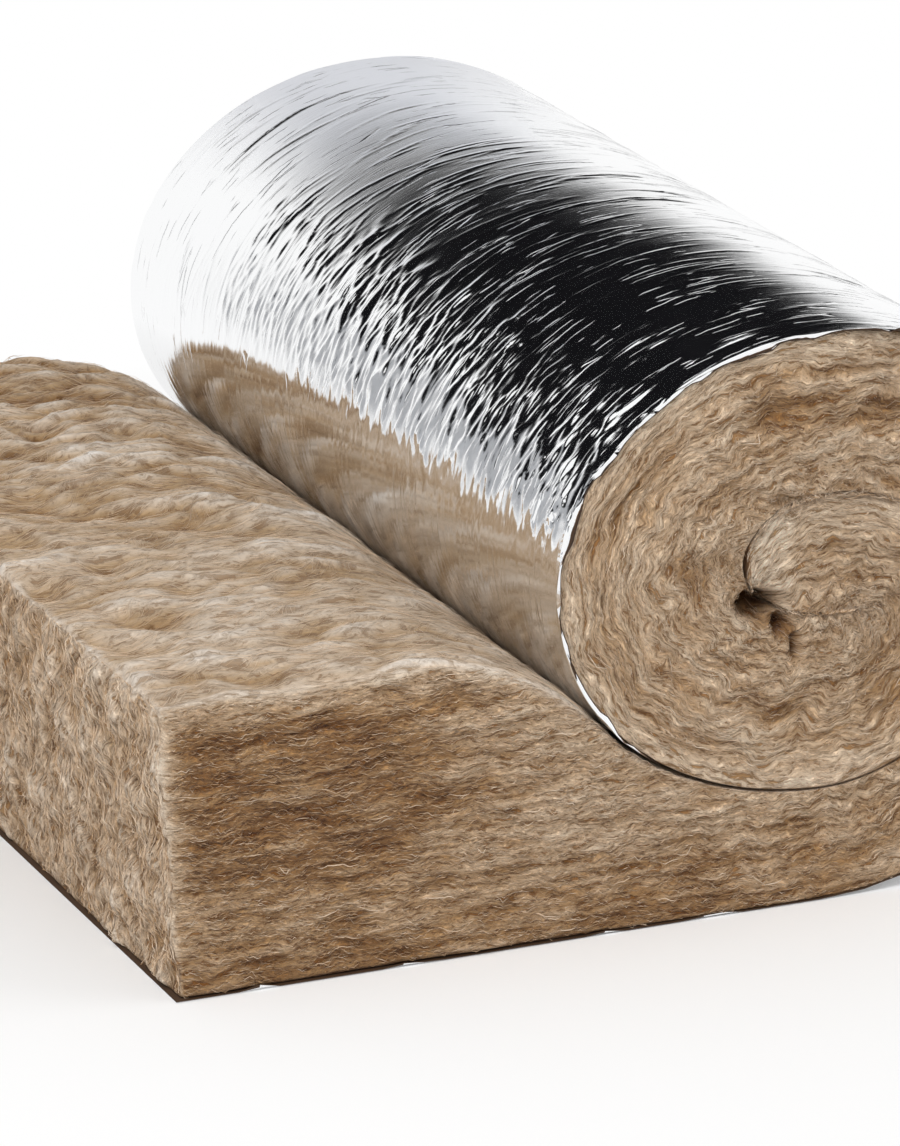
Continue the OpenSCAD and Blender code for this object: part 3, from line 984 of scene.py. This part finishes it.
# The cut edges: a narrow lip, folded over the wool in short straight kinks, which flares out past the
# roll's top. Below the tail the facing's dark paper edge peeks out from under the wool.
lip_fold = 0.0017
lip_fold_kinks = 0.0014
least_fold = 0.0001
most_fold = 0.0042
lip_kinks_past = 0.0006
foot_kinks = 0.0030
most_turned_up = 0.0035
least_silver = 0.0006
flare_out = 0.0026
flare_kinks = 0.0008
flare_past = 0.003
sway = 0.0007
tilt = 0.0010
kink_at = np.cumsum(np.concatenate([[0], chance.uniform(0.005, 0.018, 400)]))
lip = eased(84, 92, wind) * (1 - eased(220, 228, wind))
tucked = 0.0016 * on_floor + 0.010 * eased(226, 240, wind)
flare = eased(20, 50, wind) * (1 - eased(78, 90, wind))
silver_foot = []
for edge, order in ((-1, np.arange(len(edge_rows))), (1, len(rows) - 1 - np.arange(len(edge_rows)))):
    lip_kinks = np.interp(run, kink_at, chance.normal(0.0, 1.0, len(kink_at)))
    sway_kinks = np.interp(run, kink_at, chance.normal(0.0, 1.0, len(kink_at)))
    size = 1.0 if edge < 0 else 0.2
    over_wool = np.clip(lip_fold + lip_fold_kinks * lip_kinks, least_fold, most_fold) * lip
    turned_up = np.clip(foot_kinks * (lip_kinks - 0.8), 0, most_turned_up) * on_floor
    silver_foot.append(turned_up > least_silver)
    flared = (flare_out + flare_kinks * lip_kinks) * flare
    for step, k in enumerate(order):
        bent = max(0.0, 1 - step / 3.0)
        folded = (1.0, 0.12, 0.02, 0.0, 0.0, 0.0, 0.0)[step]
        moved = size * (sway * sway_kinks * bent * shows + flared * bent ** 1.5 - over_wool * folded)
        for skin in (foil_out, foil_in):
            skin[:, k, :] += outward * moved[:, None]
        tilted = (tilt * sway_kinks - tilt) * (step == 0)
        past_lip = lip * (lip_kinks_past * lip_kinks + tilted)
        past_wool = past_lip + flare_past * flare + 0.3 * turned_up - tucked
        foil_y[:, k] += edge * max(0.0, 1 - step / 6.0) * size * past_wool
        inner_y[:, k] = foil_y[:, k] - edge * 0.0004 * bent
    for skin in (foil_out, foil_in):
        skin[:, order[0], 1] += turned_up
        skin[:, order[1], 1] += 0.4 * turned_up

back_edge = 8
back_rows = np.concatenate([np.arange(back_edge), np.arange(len(rows) - back_edge, len(rows))])
outer_points = np.stack([foil_out[..., 0] + roll_x, foil_y, foil_out[..., 1]], axis=-1)
inner_points = np.stack([foil_in[..., 0] + roll_x, inner_y, foil_in[..., 1]], axis=-1)[:, back_rows]
outer_grid = np.arange(run_grid.size).reshape(run_grid.shape)
inner_grid = run_grid.size + np.arange(len(run) * len(back_rows)).reshape(len(run), len(back_rows))
metal_faces = quads_of(outer_grid)
paper_faces = quads_of(inner_grid)
edge_faces = quads_of(np.stack([outer_grid[:, 0], inner_grid[:, 0]], axis=1))
edge_faces += quads_of(np.stack([outer_grid[:, -1], inner_grid[:, -1]], axis=1))
for column in (0, -1):
    for a in range(len(back_rows) - 1):
        over = outer_grid[column, back_rows[a]:back_rows[a + 1] + 1].tolist()
        under = inner_grid[column, a:a + 2].tolist()
        if len(over) == 2:
            edge_faces.append((*over, under[1], under[0]))
        else:
            edge_faces += fan(over, *under)
foil = new_piece(
    "foil_facing_sheet", np.concatenate([outer_points.reshape(-1, 3), inner_points.reshape(-1, 3)]),
    metal_faces + paper_faces + edge_faces)
turn_outward(foil)
both_runs = np.concatenate([run_grid.ravel(), run_grid[:, back_rows].ravel()])
both_rows = np.concatenate([row_grid.ravel(), row_grid[:, back_rows].ravel()])
keep_vectors(foil, "laid_at", np.stack([both_runs, both_rows, 0 * both_runs], axis=1))


def foil_finish():
    """Bright rolled aluminium with faint streaks and hair-fine creases from the winding."""
    finish = plain_finish("aluminium_foil", (0.95, 0.955, 0.96), 0.10)
    tree = finish.node_tree
    shader = tree.nodes["Principled BSDF"]
    shader.inputs["Metallic"].default_value = 1.0
    place = add_node(tree, "Attribute", {}, attribute_name="laid_at").outputs["Vector"]
    stretch = add_node(tree, "Mapping", {"Vector": place, "Scale": (90.0, 760.0, 1.0)})
    crease = add_node(tree, "TexNoise", {"Vector": stretch.outputs["Vector"], "Scale": 1.0, "Detail": 3.0})
    dent = add_node(tree, "Bump", {"Strength": 0.09, "Distance": 0.0006, "Height": crease.outputs["Fac"]})
    wander = add_node(tree, "TexNoise", {"Vector": place, "Scale": 70.0, "Detail": 3.0})
    jagged = add_node(
        tree, "VectorMath", {0: wander.outputs["Color"], 1: (0.010, 0.004, 0.0), 2: place},
        operation="MULTIPLY_ADD")
    drawn_out = add_node(tree, "Mapping", {"Vector": jagged.outputs["Vector"], "Scale": (12.0, 115.0, 1.0)})
    cells = add_node(
        tree, "TexVoronoi", {"Vector": drawn_out.outputs["Vector"], "Scale": 1.0},
        voronoi_dimensions="2D", feature="DISTANCE_TO_EDGE")
    groove = add_node(
        tree, "MapRange", {"Value": cells.outputs["Distance"], "From Max": 0.06},
        interpolation_type="SMOOTHSTEP")
    patches = add_node(tree, "TexNoise", {"Vector": place, "Scale": 38.0})
    cracked = add_node(tree, "MapRange", {
        "Value": patches.outputs["Fac"], "From Min": 0.50, "From Max": 0.64})
    broken = add_node(tree, "Mix", {
        "Factor": cracked.outputs["Result"], "A": 1.0, "B": groove.outputs["Result"]})
    crack = add_node(tree, "Bump", {
        "Strength": 0.40, "Distance": 0.0005,
        "Height": broken.outputs["Result"], "Normal": dent.outputs["Normal"]})
    tree.links.new(crack.outputs["Normal"], shader.inputs["Normal"])
    return finish


foil.data.materials.append(foil_finish())
foil.data.materials.append(plain_finish("facing_paper", linear(70, 50, 34), 0.85))

# The paper is seen on the back, on the cut edges and along the foot, apart from a few silver kinks.
# The outer rows of the lip are left flat, so that its kinks stay sharp.
flat_lip_rows = 4
row_of_face = np.arange(len(metal_faces)) % (len(rows) - 1)
column_of_face = np.arange(len(metal_faces)) // (len(rows) - 1)
from_edge = np.minimum(row_of_face, len(rows) - 2 - row_of_face)
silver = np.where(
    row_of_face < len(rows) // 2, silver_foot[0][column_of_face], silver_foot[1][column_of_face])
shows_paper = np.ones(len(foil.data.polygons), dtype=np.int32)
shows_paper[:len(metal_faces)] = (from_edge == 0) & on_floor[column_of_face] & ~silver
smooth = np.ones(len(foil.data.polygons), dtype=bool)
smooth[:len(metal_faces)] = from_edge >= flat_lip_rows
foil.data.polygons.foreach_set("material_index", shows_paper)
foil.data.polygons.foreach_set("use_smooth", smooth)
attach(foil, "root")
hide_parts("foil_facing")
